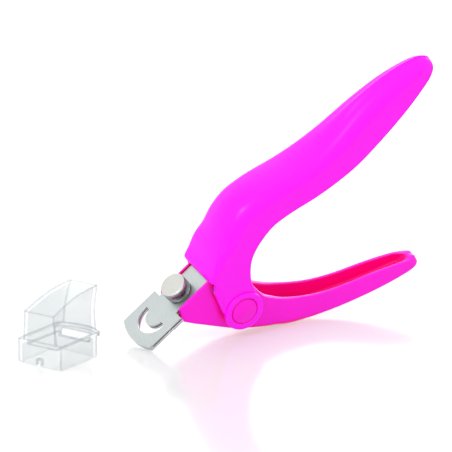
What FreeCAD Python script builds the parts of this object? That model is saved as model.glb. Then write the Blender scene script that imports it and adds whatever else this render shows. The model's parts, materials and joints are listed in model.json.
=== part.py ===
import FreeCAD, Part
import math
import os

import Sketcher
from FreeCAD import Placement, Rotation, Vector

# A plier-type nail tip clipper and its clear clippings catcher, in millimetres.
#
# Every piece of the tool is drawn in the bench frame: the pivot's centre is the origin, the nose
# points along -X, the plates face +Z and the pivot lies along Y. "near" is the -Y side.
# The tool is then turned into its stance, propped on the head's near corner and on the lever's
# belly, and the catcher stands upright in front of the nose.

os.makedirs("parts", exist_ok=True)
doc = FreeCAD.newDocument("nail_tip_clipper")

# ------------------------------------------------------------------ driving dimensions

DIMENSIONS = {
    # pivot
    "pin_radius": 3.0,
    "running_gap": 0.05,
    "cheek_inner": 7.0,
    "cheek_outer": 10.0,
    "boss_radius": 7.05,
    "boss_ring_radius": 6.7,
    "boss_height": 0.8,
    "cap_radius": 4.9,
    "cap_rim": 0.7,
    "cap_dome": 0.75,
    "cap_seat": 1.0,
    "washer_radius": 5.2,
    "washer_thickness": 0.7,
    "washer_seat": 0.55,
    # nose and head
    "nose_half_width": 6.8,
    "head_width": 18.0,
    "tail_width": 11.3,
    "plate_top": 17.0,
    "upper_plate_thickness": 0.75,
    "blade_gap": 0.45,
    "blade_thickness": 0.35,
    "lower_plate_thickness": 0.8,
    "head_corner_reach": 31.0,
    "head_reach": 33.2,
    "head_rear_edge": 16.7,
    "upper_tail_end": 5.0,
    "lower_tail_end": 6.5,
    "moon_outer_radius": 6.1,
    "moon_inner_radius": 3.9,
    "moon_outer_reach": 23.1,
    "moon_inner_reach": 22.3,
    "moon_tip_reach": 22.4,
    # blade drive
    "drive_arm": 13.8,
    "drive_angle": 8.75,
    "drive_pin_radius": 1.2,
    "drive_pin_half": 8.8,
    "drive_gap": 0.1,
    "blade_travel": 4.2,
    # clamp screw
    "screw_reach": 11.1,
    "shank_radius": 1.9,
    "knob_radius": 4.5,
    "knob_height": 4.4,
    "clamp_washer_thickness": 0.4,
    "clamp_washer_radius": 3.7,
    "insert_radius": 3.1,
    "insert_length": 6.0,
    # moulding walls
    "shell_wall": 1.8,
    "rib_thickness": 1.4,
    # spring
    "wire_radius": 0.5,
    "coil_radius": 4.1,
    "coil_pitch": 1.15,
    # catcher
    "skirt_width": 17.7,
    "skirt_length": 19.4,
    "skirt_height": 7.2,
    "catcher_wall": 1.0,
    "flange_thickness": 1.2,
    "flange_overhang": 4.2,
    "catcher_turn": -52.2,
    "catcher_ahead": 62.3,
    "catcher_aside": -12.7,
    # stance
    "stance_pitch": -41.35,
    "stance_roll": 19.8,
}

sheet = doc.addObject("Spreadsheet::Sheet", "dims")
for row, (alias, number) in enumerate(DIMENSIONS.items(), start=1):
    sheet.set(f"A{row}", alias)
    sheet.set(f"B{row}", str(number))
    sheet.setAlias(f"B{row}", alias)
doc.recompute()
D = {alias: float(sheet.get(alias)) for alias in DIMENSIONS}

NEAR, FAR = -1, 1
ALONG_Y = Rotation(Vector(1, 0, 0), 90)  # turns a local Z axis to -Y, and a sketch's Y to Z
SPAN = 80.0  # longer than any piece is tall or wide, for cuts that go right through

# heights of the faces of the plate stack, and of the insert under it
UPPER_FACE = "dims.plate_top - dims.upper_plate_thickness"
GAP_FACE = UPPER_FACE + " - dims.blade_gap"
LOWER_FACE = GAP_FACE + " - dims.lower_plate_thickness"
INSERT_BASE = LOWER_FACE + " - dims.insert_length"

nodes = {}


def node(name, feature):
    """Registers the finished solid of one piece under its own name."""
    feature.Label = name
    nodes[name] = feature
    return feature


# ------------------------------------------------------------------ small modelling helpers


def spline(points):
    curve = Part.BSplineCurve()
    curve.interpolate(Points=[Vector(a, b, 0) for a, b in points])
    return curve


def line(start, end):
    return Part.LineSegment(Vector(*start, 0), Vector(*end, 0))


def arc(start, middle, end):
    return Part.Arc(Vector(*start, 0), Vector(*middle, 0), Vector(*end, 0))


def polygon(points):
    return [line(a, b) for a, b in zip(points, points[1:] + points[:1])]


def mirrored(points):
    """The same outline points on the other side of the local X axis, in reverse order."""
    return [(a, -b) for a, b in reversed(points)]


def outline(name, geometry, upright):
    """A sketch in the XZ plane (upright) or in the XY plane."""
    drawn = doc.addObject("Sketcher::SketchObject", name)
    if upright:
        drawn.Placement = Placement(Vector(), ALONG_Y)
    drawn.addGeometry(geometry, False)
    return drawn


def extrusion(name, geometry, length, upright=True, lift=None):
    """An outline made solid: both ways from the XZ plane, or upwards from a height in XY."""
    drawn = outline(name + "_outline", geometry, upright)
    solid = doc.addObject("Part::Extrusion", name)
    solid.Base = drawn
    solid.DirMode = "Normal"
    solid.Solid = True
    solid.Symmetric = upright or lift is None
    solid.setExpression("LengthFwd", length)
    if lift is not None:
        drawn.setExpression("Placement.Base.z", lift)
    return solid


def joined(name, *parts):
    fuse = doc.addObject("Part::MultiFuse", name)
    fuse.Shapes = list(parts)
    return fuse


def common(name, *parts):
    shared = doc.addObject("Part::MultiCommon", name)
    shared.Shapes = list(parts)
    return shared


def cut(name, base, *tools):
    tool = tools[0] if len(tools) == 1 else joined(name + "_tools", *tools)
    result = doc.addObject("Part::Cut", name)
    result.Base = base
    result.Tool = tool
    return result


def box(name, length, width, height, x, y, z):
    """A block from its lowest corner; every argument is an expression."""
    block = doc.addObject("Part::Box", name)
    for prop, value in (
        ("Length", length),
        ("Width", width),
        ("Height", height),
        ("Placement.Base.x", x),
        ("Placement.Base.y", y),
        ("Placement.Base.z", z),
    ):
        block.setExpression(prop, value)
    return block


def upright_cylinder(name, radius, height, x, z):
    """A cylinder along +Z from height z."""
    rod = doc.addObject("Part::Cylinder", name)
    rod.setExpression("Radius", radius)
    rod.setExpression("Height", height)
    rod.setExpression("Placement.Base.x", x)
    rod.setExpression("Placement.Base.z", z)
    return rod


def cross_cylinder(name, radius, start_y, length, x="0", z="0"):
    """A cylinder along Y: from start_y towards +Y."""
    rod = doc.addObject("Part::Cylinder", name)
    rod.Placement = Placement(Vector(), Rotation(Vector(1, 0, 0), -90))
    rod.setExpression("Radius", radius)
    rod.setExpression("Height", length)
    rod.setExpression("Placement.Base.x", x)
    rod.setExpression("Placement.Base.y", start_y)
    rod.setExpression("Placement.Base.z", z)
    return rod


def chamfered(name, rod, size):
    """A plain rod with both end edges broken."""
    finished = doc.addObject("Part::Chamfer", name)
    finished.Base = rod
    finished.Edges = [(1, size, size), (3, size, size)]
    return finished


def origin_plane(body, role):
    return next(f for f in body.Origin.OriginFeatures if f.Role == role)


def new_body(name):
    return doc.addObject("PartDesign::Body", name)


def body_sketch(body, name, role, offset=None):
    drawn = body.newObject("Sketcher::SketchObject", name)
    drawn.AttachmentSupport = [(origin_plane(body, role), "")]
    drawn.MapMode = "FlatFace"
    if offset:
        drawn.setExpression("AttachmentOffset.Base.z", offset)
    return drawn


def add_circle(drawn, label, radius, x="0", y="0"):
    """A circle whose radius and centre follow the sheet; x and y may be negative."""
    place = {"x": (x, 0), "y": (y, 0)}
    index = drawn.addGeometry(Part.Circle(Vector(1, 1, 0), Vector(0, 0, 1), 2), False)
    drawn.addConstraint(Sketcher.Constraint("Radius", index, 2.0))
    drawn.renameConstraint(drawn.ConstraintCount - 1, label + "_radius")
    drawn.setExpression(f"Constraints.{label}_radius", radius)
    for axis, kind in (("x", "DistanceX"), ("y", "DistanceY")):
        drawn.addConstraint(Sketcher.Constraint(kind, -1, 1, index, 3, 1.0))
        drawn.renameConstraint(drawn.ConstraintCount - 1, f"{label}_{axis}")
        drawn.setExpression(f"Constraints.{label}_{axis}", place[axis][0])
    return index


def pad(body, name, drawn, length, symmetric=False):
    feature = body.newObject("PartDesign::Pad", name)
    feature.Profile = drawn
    feature.SideType = "Symmetric" if symmetric else "One side"
    feature.setExpression("Length", length)
    return feature


def pocket(body, name, drawn, length):
    feature = body.newObject("PartDesign::Pocket", name)
    feature.Profile = drawn
    feature.SideType = "Symmetric"
    feature.setExpression("Length", length)
    return feature


# ------------------------------------------------------------------ outlines of the mouldings

# The upper handle in side view, from the front lip over the hump to the tip, and back below.
LIP = (-1.6, 17.9)
TIP = (102.1, 15.0)
HANDLE_TOP = [
    LIP, (2.7, 20.7), (6.5, 22.8), (10.9, 24.8), (15.8, 27.6), (21.4, 29.5), (26.8, 29.4),
    (33.7, 28.0), (42.2, 25.1), (50.9, 22.9), (60.8, 22.2), (73.8, 22.9), (85.7, 21.9),
    (95.5, 19.9), (100.0, 18.0), TIP,
]
HANDLE_BELOW = [
    TIP, (100.9, 11.9), (98.2, 10.8), (92.0, 10.0), (82.6, 8.5), (70.8, 8.3), (54.2, 10.7),
    (43.6, 13.2), (32.9, 16.8), (26.3, 18.5), (18.5, 17.3), (13.0, 14.0), (10.0, 9.6), (7.9, 4.0),
]
HANDLE_UNDERCUT = (7.25, 0.2)
BOSS_REAR = (6.6, -2.48)
BOSS_FRONT = (-6.7, -2.19)
CHEEK_FRONT = [BOSS_FRONT, (-6.5, 2.2), (-5.5, 7.5), (-3.7, 13.4), LIP]
HANDLE_HALF_WIDTH = [
    (-20.0, 10.0), (8.0, 10.0), (16.0, 9.3), (24.0, 8.9), (36.0, 8.7), (48.0, 8.6), (60.0, 7.9),
    (74.0, 6.4), (85.0, 5.5), (93.0, 4.6), (98.2, 3.3),
]

# The hollow under the roof of the upper handle, side view.
HOLLOW_ROOF = [
    (2.5, 17.78), (5.6, 19.9), (10.2, 22.5), (15.6, 25.5), (21.0, 27.7), (26.7, 27.6),
    (33.0, 26.2), (41.5, 23.3), (50.7, 21.1), (60.8, 20.4), (73.6, 21.1), (85.2, 20.1),
    (94.5, 18.2), (98.4, 16.7), (99.8, 14.6),
]
RIBS = ((36.0, 18.5), (58.0, 13.0), (80.0, 11.5))  # where each cross rib stands and its lower edge

# The lever moulding in side view: one belly curve from the toe of the nose to the lever's end.
TOE = (-17.8, 12.5)
NOSE_FACE = (-15.8, 13.4)
RIM_FRONT = (-15.4, 17.6)
LEVER_END_TOP = (55.3, -46.6)
LEVER_END_BELOW = (54.3, -49.0)
BELLY = [
    TOE, (-12.6, 3.3), (-7.2, -5.7), (-2.8, -11.5), (4.5, -19.1), (12.8, -26.7), (23.6, -34.1),
    (35.6, -40.6), (47.5, -46.1), LEVER_END_BELOW,
]
HUB_REAR = [(2.0, 17.6), (5.4, 16.2), (7.4, 12.5), (7.9, 4.0), (8.2, -5.0)]
RIM_LINE = [
    (8.2, -5.0), (13.7, -14.6), (21.7, -23.2), (30.6, -29.8), (40.6, -35.6), (49.5, -41.4),
    LEVER_END_TOP,
]
LEVER_HALF_WIDTH = [(-30.0, 6.8), (2.0, 6.8), (11.0, 6.3), (20.0, 5.4), (32.0, 4.7), (51.2, 4.1)]
LEVER_ROUND_END = (55.4, 0.0)

# The slot through the hub and the channel of the lever, side view and plan.
SLOT_FRONT = -6.3
CHANNEL_FLOOR = [
    (SLOT_FRONT, 4.0), (-5.4, -3.0), (-1.2, -9.8), (5.7, -17.7), (13.9, -25.2), (24.5, -32.5),
    (36.3, -38.9), (48.2, -44.4), (53.0, -46.4),
]
CHANNEL_HALF_WIDTH = [(9.6, 3.4), (11.4, 4.0), (14.5, 4.4), (22.0, 3.8), (34.0, 3.2), (51.0, 2.7)]
CHANNEL_ROUND_END = (53.9, 0.0)
CHANNEL_FRONT_HALF_WIDTH = 3.4


# ------------------------------------------------------------------ upper handle and its pivot


def handle_side():
    return [
        spline(HANDLE_TOP),
        spline(HANDLE_BELOW),
        spline([HANDLE_BELOW[-1], HANDLE_UNDERCUT, BOSS_REAR]),
        arc(BOSS_REAR, (0.0, -D["boss_radius"]), BOSS_FRONT),
        spline(CHEEK_FRONT),
    ]


def plan(half_width, round_end):
    """A plan outline symmetric about X, closed by a round end and a straight front."""
    first, last = half_width[0], half_width[-1]
    return [
        spline(half_width),
        arc(last, round_end, (last[0], -last[1])),
        spline(mirrored(half_width)),
        line((first[0], -first[1]), first),
    ]


def build_upper_handle():
    side = extrusion("handle_side", handle_side(), "dims.cheek_outer * 2")
    top = extrusion("handle_plan", plan(HANDLE_HALF_WIDTH, TIP[:1] + (0.0,)), str(SPAN * 2), False)
    outer = common("handle_outer", side, top)

    roof = HOLLOW_ROOF
    lip_radius = math.hypot(*LIP)
    gap_outline = [
        line((-25.0, 17.78), (-2.6, 17.78)),
        arc((-2.6, 17.78), (0.0, lip_radius), roof[0]),
        spline(roof[:6]),
        line(roof[5], (roof[5][0], -20.0)),
        line((roof[5][0], -20.0), (-25.0, -20.0)),
        line((-25.0, -20.0), (-25.0, 17.78)),
    ]
    cheek_gap = extrusion("cheek_gap", gap_outline, "dims.cheek_inner * 2")

    hollow_outline = [
        spline(roof[2:]),
        line(roof[-1], (roof[-1][0], 0.0)),
        line((roof[-1][0], 0.0), (roof[2][0], 0.0)),
        line((roof[2][0], 0.0), roof[2]),
    ]
    hollow_side = extrusion("hollow_side", hollow_outline, "dims.cheek_outer * 2")
    wall = D["shell_wall"]
    inner_width = [(x, w - wall) for x, w in HANDLE_HALF_WIDTH[2:]]
    inner_end = (TIP[0] - wall - 0.6, 0.0)
    hollow_plan = extrusion("hollow_plan", plan(inner_width, inner_end), str(SPAN * 2), False)
    hollow = common("handle_hollow", hollow_side, hollow_plan)
    return outer, cheek_gap, hollow


def build_handle_ribs(outer):
    """Cross ribs that stiffen the hollow handle."""
    width = "dims.cheek_outer * 2"
    ribs = [
        box(f"rib_{index}", "dims.rib_thickness", width, str(SPAN), str(x), "-dims.cheek_outer", str(z))
        for index, (x, z) in enumerate(RIBS, start=1)
    ]
    return common("handle_ribs", outer, joined("rib_blocks", *ribs))


def build_upper_body():
    outer, cheek_gap, hollow = build_upper_handle()
    ribs = build_handle_ribs(outer)
    near_face = "-dims.cheek_outer - dims.boss_height"
    far_face = "dims.cheek_outer + dims.boss_height"
    bosses = [
        cross_cylinder("boss_near", "dims.boss_ring_radius", near_face, "dims.boss_height"),
        cross_cylinder("boss_far", "dims.boss_ring_radius", "dims.cheek_outer", "dims.boss_height"),
    ]
    seat_radius = "dims.cap_radius + dims.drive_gap"
    recesses = [
        cross_cylinder("cap_seat_near", seat_radius, near_face, "dims.cap_seat"),
        cross_cylinder("cap_seat_far", seat_radius, f"{far_face} - dims.cap_seat", "dims.cap_seat"),
    ]
    pin_bore = cross_cylinder("cheek_bore", "dims.pin_radius", str(-SPAN / 2), str(SPAN))
    drive_x = "-dims.drive_arm * sin(dims.drive_angle)"
    drive_z = "dims.drive_arm * cos(dims.drive_angle)"
    drive_length = "dims.drive_pin_half * 2"
    drive_bore = cross_cylinder(
        "drive_bore", "dims.drive_pin_radius", "-dims.drive_pin_half", drive_length, drive_x, drive_z)
    shell = cut("handle_shell", outer, cheek_gap, hollow)
    ribbed = joined("ribbed_shell", shell, ribs, *bosses)
    node("upper_handle", cut("upper_handle", ribbed, pin_bore, drive_bore, *recesses))

    half_pin = "(dims.cheek_outer + dims.boss_height - dims.cap_seat)"
    pivot_rod = cross_cylinder("pivot_rod", "dims.pin_radius", f"-{half_pin}", f"{half_pin} * 2")
    node("pivot_pin", chamfered("pivot_pin", pivot_rod, 0.3))
    drive_rod = cross_cylinder(
        "drive_rod", "dims.drive_pin_radius", "-dims.drive_pin_half", drive_length, drive_x, drive_z)
    node("drive_pin", chamfered("drive_pin", drive_rod, 0.2))
    for name, side in (("pivot_cap_near", NEAR), ("pivot_cap_far", FAR)):
        build_pivot_cap(name, side)


def build_pivot_cap(name, side):
    """A press-in cap: a disc whose face is domed by the sphere that it shares."""
    inner = "(dims.cheek_outer + dims.boss_height - dims.cap_seat)"
    height = "(dims.cap_rim + dims.cap_dome)"
    start = inner if side == FAR else f"-{inner} - {height}"
    disc = cross_cylinder(name + "_disc", "dims.cap_radius", start, height)
    sphere = doc.addObject("Part::Sphere", name + "_dome")
    radius = "((dims.cap_radius * dims.cap_radius + dims.cap_dome * dims.cap_dome) / 2 / dims.cap_dome)"
    sphere.setExpression("Radius", radius)
    sphere.setExpression("Placement.Base.y", f"{side} * ({inner} + {height} - {radius})")
    node(name, common(name, disc, sphere))


# ------------------------------------------------------------------ lever moulding with the nose


def build_lower_lever():
    side_outline = [
        spline(BELLY),
        line(LEVER_END_BELOW, LEVER_END_TOP),
        spline(list(reversed(RIM_LINE))),
        spline(list(reversed(HUB_REAR))),
        line(HUB_REAR[0], RIM_FRONT),
        line(RIM_FRONT, NOSE_FACE),
        line(NOSE_FACE, TOE),
    ]
    side = extrusion("lever_side", side_outline, "dims.nose_half_width * 2")
    top = extrusion("lever_plan", plan(LEVER_HALF_WIDTH, LEVER_ROUND_END), str(SPAN * 2), False)
    outer = common("lever_outer", side, top)

    floor = CHANNEL_FLOOR
    open_top = 25.0
    channel_outline = [
        spline(floor),
        line(floor[-1], (floor[-1][0], open_top)),
        line((floor[-1][0], open_top), (SLOT_FRONT, open_top)),
        line((SLOT_FRONT, open_top), floor[0]),
    ]
    channel_side = extrusion("channel_side", channel_outline, "dims.nose_half_width * 2")
    slot_corner = (-20.0, CHANNEL_FRONT_HALF_WIDTH)
    half = CHANNEL_HALF_WIDTH
    channel_plan_outline = [
        line(slot_corner, half[0]),
        spline(half),
        arc(half[-1], CHANNEL_ROUND_END, (half[-1][0], -half[-1][1])),
        spline(mirrored(half)),
        line((half[0][0], -half[0][1]), (slot_corner[0], -slot_corner[1])),
        line((slot_corner[0], -slot_corner[1]), slot_corner),
    ]
    channel_plan = extrusion("channel_plan", channel_plan_outline, str(SPAN * 2), False)
    channel = common("lever_channel", channel_side, channel_plan)

    tail_pocket = box(
        "tail_pocket", "dims.upper_tail_end + 20.2", "dims.tail_width + 0.1", "10",
        "-20", "-(dims.tail_width + 0.1) / 2", LOWER_FACE,
    )
    swing = "dims.drive_arm * sin(dims.drive_angle) + dims.drive_pin_radius + 0.4"
    drive_slot = box("drive_slot", f"({swing}) * 2", "20", "3.3", f"-({swing})", "-10", "12")
    bore = cross_cylinder("hub_bore", "dims.pin_radius + dims.running_gap", "-20", "40")
    seat_radius = "dims.washer_radius + dims.drive_gap"
    seat_face = "(dims.nose_half_width - dims.washer_seat)"
    washer_seats = [
        cross_cylinder("washer_seat_near", seat_radius, "-dims.nose_half_width", "dims.washer_seat"),
        cross_cylinder("washer_seat_far", seat_radius, seat_face, "dims.washer_seat"),
    ]
    insert_seat = upright_cylinder(
        "insert_seat", "dims.insert_radius", "dims.insert_length + 5", "-dims.screw_reach", INSERT_BASE)
    shank_relief = upright_cylinder(
        "shank_relief", "dims.shank_radius + 0.2", "4", "-dims.screw_reach", f"{INSERT_BASE} - 1.5")
    hollows = [channel, tail_pocket, drive_slot, bore, insert_seat, shank_relief, *washer_seats]
    node("lower_lever", cut("lower_lever", outer, *hollows))
    thickness = "dims.washer_thickness"
    starts = {"pivot_washer_near": f"-{seat_face} - {thickness}", "pivot_washer_far": seat_face}
    for name, start in starts.items():
        disc = cross_cylinder(name + "_disc", "dims.washer_radius", start, thickness)
        hole = cross_cylinder(name + "_hole", "dims.pin_radius + dims.running_gap", start, thickness)
        node(name, cut(name, disc, hole))
    insert = upright_cylinder(
        "insert_body", "dims.insert_radius", "dims.insert_length", "-dims.screw_reach", INSERT_BASE)
    insert_bore = upright_cylinder(
        "insert_bore", "dims.shank_radius + dims.running_gap", "dims.insert_length",
        "-dims.screw_reach", INSERT_BASE)
    node("threaded_insert", cut("threaded_insert", insert, insert_bore))


# ------------------------------------------------------------------ the head: plates and blade


def nose_arc(corner_reach, apex_reach, half_width):
    return arc((-corner_reach, -half_width), (-apex_reach, 0), (-corner_reach, half_width))


def head_outline(tail_end):
    """Wide front plate with a bowed end and a narrow tail."""
    wide, tail = D["head_width"] / 2, D["tail_width"] / 2
    corner, rear = D["head_corner_reach"], D["head_rear_edge"]
    path = [(-corner, wide), (-rear, wide), (-rear, tail), (tail_end, tail)]
    path += mirrored(path)
    return [nose_arc(corner, D["head_reach"], wide)] + [line(a, b) for a, b in zip(path, path[1:])]


def moon_outline():
    """The crescent hole: two arcs whose horns point back along the plate and end square."""
    outer, inner = D["moon_outer_radius"], D["moon_inner_radius"]
    outer_x, inner_x, tip_x = -D["moon_outer_reach"], -D["moon_inner_reach"], -D["moon_tip_reach"]
    outer_y = math.sqrt(outer**2 - (tip_x - outer_x) ** 2)
    inner_y = math.sqrt(inner**2 - (tip_x - inner_x) ** 2)
    return [
        arc((tip_x, outer_y), (outer_x - outer, 0), (tip_x, -outer_y)),
        line((tip_x, -outer_y), (tip_x, -inner_y)),
        arc((tip_x, -inner_y), (inner_x - inner, 0), (tip_x, inner_y)),
        line((tip_x, inner_y), (tip_x, outer_y)),
    ]


# the thicker rear of the lower plate's wide part: distance ahead of its rear edge, and drop
SHOULDER = [(0.0, 0.0), (0.3, 0.65), (3.6, 0.65), (5.0, 0.0)]


def stack_base():
    """Height of the lower plate's underside."""
    return D["plate_top"] - D["upper_plate_thickness"] - D["blade_gap"] - D["lower_plate_thickness"]


def build_plate(name, lift, thickness, tail_end):
    body = new_body(name)
    drawn = body_sketch(body, name + "_outline", "XY_Plane", lift)
    drawn.addGeometry(head_outline(tail_end), False)
    pad(body, name + "_pad", drawn, thickness)
    moon = body_sketch(body, name + "_moon", "XY_Plane", lift)
    moon.addGeometry(moon_outline(), False)
    hole = body_sketch(body, name + "_hole", "XY_Plane", lift)
    add_circle(hole, "hole", "dims.shank_radius + 0.2", "-dims.screw_reach")
    pocket(body, name + "_moon_cut", moon, "10")
    pocket(body, name + "_hole_cut", hole, "10")
    return body


def build_head():
    node("upper_guide_plate", build_plate(
        "upper_guide_plate", UPPER_FACE, "dims.upper_plate_thickness", D["upper_tail_end"]))

    lower = build_plate("lower_guide_plate", LOWER_FACE, "dims.lower_plate_thickness", -D["lower_tail_end"])
    face = stack_base()
    rear = -D["head_rear_edge"]
    shoulder = body_sketch(lower, "shoulder_outline", "XZ_Plane")
    shoulder.addGeometry(polygon([(rear - back, face - drop) for back, drop in SHOULDER]), False)
    pad(lower, "shoulder_pad", shoulder, "dims.head_width - 0.8", symmetric=True)
    node("lower_guide_plate", lower)

    shim = new_body("nose_shim")
    drawn = body_sketch(shim, "shim_outline", "XY_Plane", GAP_FACE)
    wide = D["head_width"] / 2
    corner, apex, depth = D["head_corner_reach"], D["head_reach"], 1.2
    drawn.addGeometry(
        [
            nose_arc(corner, apex, wide),
            line((-corner, wide), (depth - corner, wide)),
            nose_arc(corner - depth, apex - depth, wide),
            line((depth - corner, -wide), (-corner, -wide)),
        ],
        False,
    )
    pad(shim, "shim_pad", drawn, "dims.blade_gap")
    node("nose_shim", shim)


BLADE_FACE = GAP_FACE + " + 0.05"
BLADE_FRONT = 31.9
BLADE_CORNER = 30.0
BLADE_WIDE = 8.2
BLADE_SHOULDER = 21.4
WINDOW_REAR = 22.2
WINDOW_RADIUS = 6.4
BLADE_TAIL = 5.3
BLADE_TAIL_STEP = 0.6
BLADE_TAIL_END = 2.4
CARRIER_HALF_WIDTH = 3.2
CARRIER_LENGTH = 8.2
CARRIER_DEPTH = 3.9
RIVET_X = 0.9


def build_blade():
    body = new_body("blade")
    drawn = body_sketch(body, "blade_outline", "XY_Plane", BLADE_FACE)
    path = [
        (-BLADE_CORNER, BLADE_WIDE), (-BLADE_SHOULDER, BLADE_WIDE),
        (-BLADE_SHOULDER, BLADE_TAIL), (BLADE_TAIL_STEP, BLADE_TAIL),
        (BLADE_TAIL_STEP, CARRIER_HALF_WIDTH), (BLADE_TAIL_END, CARRIER_HALF_WIDTH),
    ]
    path += mirrored(path)
    sides = [line(a, b) for a, b in zip(path, path[1:])]
    drawn.addGeometry([nose_arc(BLADE_CORNER, BLADE_FRONT, BLADE_WIDE)] + sides, False)
    pad(body, "blade_pad", drawn, "dims.blade_thickness")

    window = body_sketch(body, "window_outline", "XY_Plane", BLADE_FACE)
    window_x = -D["moon_outer_reach"]
    half = math.sqrt(WINDOW_RADIUS**2 - (WINDOW_REAR + window_x) ** 2)
    window.addGeometry(
        [
            arc((-WINDOW_REAR, half), (window_x - WINDOW_RADIUS, 0), (-WINDOW_REAR, -half)),
            line((-WINDOW_REAR, -half), (-WINDOW_REAR, half)),
        ],
        False,
    )
    pocket(body, "window_cut", window, "4")

    slot = body_sketch(body, "screw_slot_outline", "XY_Plane", BLADE_FACE)
    half = D["shank_radius"] + 0.2
    near_end = -D["screw_reach"]
    far_end = -D["screw_reach"] - D["blade_travel"] - 0.3
    slot.addGeometry(
        [
            arc((near_end, -half), (near_end + half, 0), (near_end, half)),
            line((near_end, half), (far_end, half)),
            arc((far_end, half), (far_end - half, 0), (far_end, -half)),
            line((far_end, -half), (near_end, -half)),
        ],
        False,
    )
    pocket(body, "screw_slot_cut", slot, "4")
    rivet_hole = body_sketch(body, "rivet_hole_outline", "XY_Plane", BLADE_FACE)
    add_circle(rivet_hole, "rivet", "0.8", str(RIVET_X))
    pocket(body, "rivet_hole_cut", rivet_hole, "4")
    node("blade", body)

    width = CARRIER_HALF_WIDTH * 2
    top = f"({BLADE_FACE})"
    block = box(
        "carrier_block", str(CARRIER_LENGTH), str(width), str(CARRIER_DEPTH),
        str(BLADE_TAIL_END - CARRIER_LENGTH), str(-CARRIER_HALF_WIDTH), f"{top} - {CARRIER_DEPTH}")
    pin_half = "(dims.drive_pin_radius + dims.drive_gap)"
    fork = box(
        "carrier_fork", f"{pin_half} * 2", "20", "3.4",
        f"-dims.drive_arm * sin(dims.drive_angle) - {pin_half}", "-10", f"{top} - 4",
    )
    rivet_seat = upright_cylinder("rivet_seat", "0.8", "3", str(RIVET_X), f"{top} - 3")
    node("blade_carrier", cut("blade_carrier", block, fork, rivet_seat))
    shank = upright_cylinder("rivet_shank", "0.8", "3 + dims.blade_thickness", str(RIVET_X), f"{top} - 3")
    node("blade_rivet", chamfered("blade_rivet", shank, 0.1))


# ------------------------------------------------------------------ clamp screw and its washer


KNURL_COUNT = 48
KNURL_DEPTH = 0.22
KNURL_HALF = 0.24
KNURL_STOP = 1.1  # the knurls end this far below the knob's face


def build_clamp():
    thickness, axis_x, seat = "dims.clamp_washer_thickness", "-dims.screw_reach", "dims.plate_top"
    washer = upright_cylinder("clamp_washer_disc", "dims.clamp_washer_radius", thickness, axis_x, seat)
    bore = "dims.shank_radius + dims.running_gap"
    hole = upright_cylinder("clamp_washer_hole", bore, thickness, axis_x, seat)
    node("clamp_washer", cut("clamp_washer", washer, hole))

    body = new_body("clamp_screw")
    section = body_sketch(body, "screw_section", "XZ_Plane")
    base = D["plate_top"] + D["clamp_washer_thickness"]
    top = base + D["knob_height"]
    knob, shank, axis = D["knob_radius"], D["shank_radius"], -D["screw_reach"]
    low = stack_base() - D["insert_length"] + 0.4
    profile = [
        (0, low), (shank - 0.4, low), (shank, low + 0.4), (shank, base), (knob - 0.3, base),
        (knob, base + 0.3), (knob, top - KNURL_STOP), (knob - 0.35, top - 0.75), (knob, top - 0.4),
        (knob - 0.4, top), (0, top),
    ]
    section.addGeometry(polygon([(axis + a, b) for a, b in profile]), False)
    section.addGeometry(line((axis, low), (axis, top)), True)
    turned = body.newObject("PartDesign::Revolution", "screw_turned")
    turned.Profile = section
    turned.ReferenceAxis = (section, ["Axis0"])
    turned.Angle = 360
    doc.recompute()

    groove = body_sketch(body, "knurl_groove", "XY_Plane")
    groove.setExpression("AttachmentOffset.Base.z", "dims.plate_top + dims.clamp_washer_thickness")
    root, mouth = axis - knob + KNURL_DEPTH, axis - knob - 0.1
    groove.addGeometry(polygon([(root, 0), (mouth, -KNURL_HALF), (mouth, KNURL_HALF)]), False)
    knurl = body.newObject("PartDesign::Pocket", "knurl_cut")
    knurl.Profile = groove
    knurl.SideType = "One side"
    knurl.Reversed = True
    knurl.Length = D["knob_height"] - KNURL_STOP
    pattern = body.newObject("PartDesign::PolarPattern", "knurl_pattern")
    pattern.Originals = [knurl]
    pattern.Axis = (section, ["Axis0"])
    pattern.Angle = 360
    pattern.Occurrences = KNURL_COUNT
    body.Tip = pattern
    node("clamp_screw", body)


# ------------------------------------------------------------------ torsion spring


def wire_leg(name, start, end, y):
    """A straight length of spring wire in a plane of constant y."""
    leg = doc.addObject("Part::Cylinder", name)
    run = Vector(end[0] - start[0], 0, end[1] - start[1])
    leg.setExpression("Radius", "dims.wire_radius")
    leg.Height = run.Length
    leg.Placement = Placement(Vector(start[0], y, start[1]), Rotation(Vector(0, 0, 1), run))
    return leg


def build_coil(name, turns, start_angle, start_y):
    """Turns of wire about the pivot: from start_y they advance towards +Y, top over front to back."""
    helix = doc.addObject("Part::Helix", name + "_helix")
    helix.setExpression("Pitch", "dims.coil_pitch")
    helix.setExpression("Radius", "dims.coil_radius")
    helix.setExpression("Height", f"dims.coil_pitch * {turns}")
    helix.SegmentLength = 0
    wire = doc.addObject("Part::Circle", name + "_wire")
    wire.setExpression("Radius", "dims.wire_radius")
    wire.Placement = Placement(Vector(D["coil_radius"], 0, 0), Rotation(Vector(1, 0, 0), 90))
    coil = doc.addObject("Part::Sweep", name + "_coil")
    coil.Sections = [wire]
    coil.Spine = (helix, [""])
    coil.Solid = True
    coil.Frenet = True
    # the helix axis turns from +Z to +Y, and its start goes to start_angle in the XZ plane
    coil.Placement = Placement(
        Vector(0, start_y, 0), Rotation(Vector(0, 1, 0), -start_angle) * Rotation(Vector(1, 0, 0), -90))
    return coil


def on_coil(angle):
    radius, turn = D["coil_radius"], math.radians(angle)
    return (radius * math.cos(turn), radius * math.sin(turn))


def tangent_end(angle, sense, length):
    """Where a leg ends that leaves the coil along its tangent, with (1) or against (-1) the winding."""
    x, z = on_coil(angle)
    turn = math.radians(angle)
    return (x + sense * length * math.sin(turn), z - sense * length * math.cos(turn))


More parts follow.
